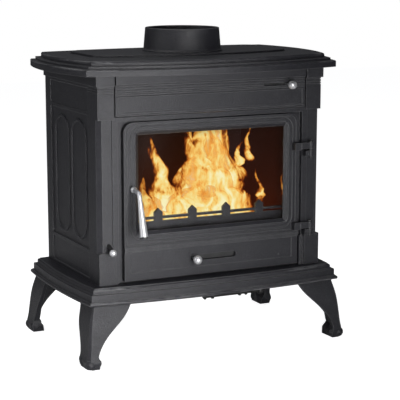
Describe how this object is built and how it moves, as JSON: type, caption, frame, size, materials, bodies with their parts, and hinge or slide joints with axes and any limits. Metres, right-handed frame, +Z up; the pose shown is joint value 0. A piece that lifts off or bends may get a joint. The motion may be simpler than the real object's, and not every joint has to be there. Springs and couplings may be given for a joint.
{
  "type": "wood stove",
  "caption": "Freestanding cast iron wood stove on cabriole legs, with a glazed hinged door, sliding air controls, riddling grate, ash pan and a round flue collar on top.",
  "frame": {"origin": "middle of the footprint at floor level, below the centre of the overall bounding box", "axes": "+Z up, -Y towards the door side, +X to the right seen from the front"},
  "size_m": [0.6508, 0.4354, 0.7065],
  "materials": {
    "cast": "satin black stove paint on cast iron with a fine sand-cast grain",
    "sheet": "black painted sheet steel",
    "steel": "plain zinc plated steel",
    "black_steel": "blackened steel bar",
    "bright": "polished chrome",
    "grip_end": "black moulded end cap",
    "firebrick": null,
    "glass": "clear ceramic glass",
    "rope": "knitted glass fibre rope and tape"
  },
  "bodies": {
    "stove": {"base_plate": "cast", "leg_back_right": "cast", "leg_back_left": "cast", "leg_front_right": "cast", "leg_front_left": "cast", "right_side": "cast", "left_side": "cast", "back_panel": "cast", "front_frame": "cast", "lintel_panel": "cast", "top_plate": "cast", "flue_collar": "cast", "grate_frame": "cast", "log_guard": "cast", "hinge_brackets": "cast", "bottom_cover": "sheet", "back_shield": "sheet", "ash_pan": "sheet", "flap_ears": "sheet", "cover_screws": "steel", "leg_bolts": "steel", "tie_rods": "steel", "shield_spacers": "steel", "shield_screws": "steel", "latch_keeper": "steel", "keeper_screws": "steel", "hinge_washers": "steel", "flue_bolts": "steel", "hinge_pins": "black_steel", "right_lining": "firebrick", "left_lining": "firebrick", "back_lining": "firebrick", "baffle_plate": "firebrick"},
    "door": {"door_casting": "cast", "door_rope": "rope", "door_glass": "glass", "glass_gasket": "rope", "glass_clips": "sheet", "clip_screws": "steel", "shutter_guides": "sheet"},
    "handle": {"door_handle": "bright", "handle_cap": "grip_end", "handle_spindle": "steel", "latch_cam": "steel"},
    "air_control": {"air_shutter": "sheet", "air_knob": "bright"},
    "airwash_control": {"airwash_plate": "sheet", "airwash_knob": "bright"},
    "riddler": {"riddling_rod": "black_steel", "riddling_knob": "bright", "riddle_grate": "cast"},
    "flap": {"air_flap": "sheet", "flap_spindle": "black_steel"}
  },
  "joints": [
    {"name": "door_hinge", "type": "hinge", "parent": "stove", "child": "door", "pos_m": [0.238, -0.16029, 0.355], "axis": [0, 0, 1], "range_deg": [0, 110]},
    {"name": "handle_turn", "type": "hinge", "parent": "door", "child": "handle", "pos_m": [-0.1935, -0.13929, 0.3765], "axis": [0, 1, 0], "range_deg": [-25, 90]},
    {"name": "air_slide", "type": "slide", "parent": "door", "child": "air_control", "axis": [1, 0, 0], "range_m": [0, 0.098]},
    {"name": "airwash_slide", "type": "slide", "parent": "stove", "child": "airwash_control", "axis": [-1, 0, 0], "range_m": [0, 0.055]},
    {"name": "riddle_pull", "type": "slide", "parent": "stove", "child": "riddler", "axis": [0, -1, 0], "range_m": [0, 0.03]},
    {"name": "flap_drop", "type": "hinge", "parent": "stove", "child": "flap", "pos_m": [0.04, -0.13229, 0.117], "axis": [-1, 0, 0], "range_deg": [0, 40]}
  ]
}
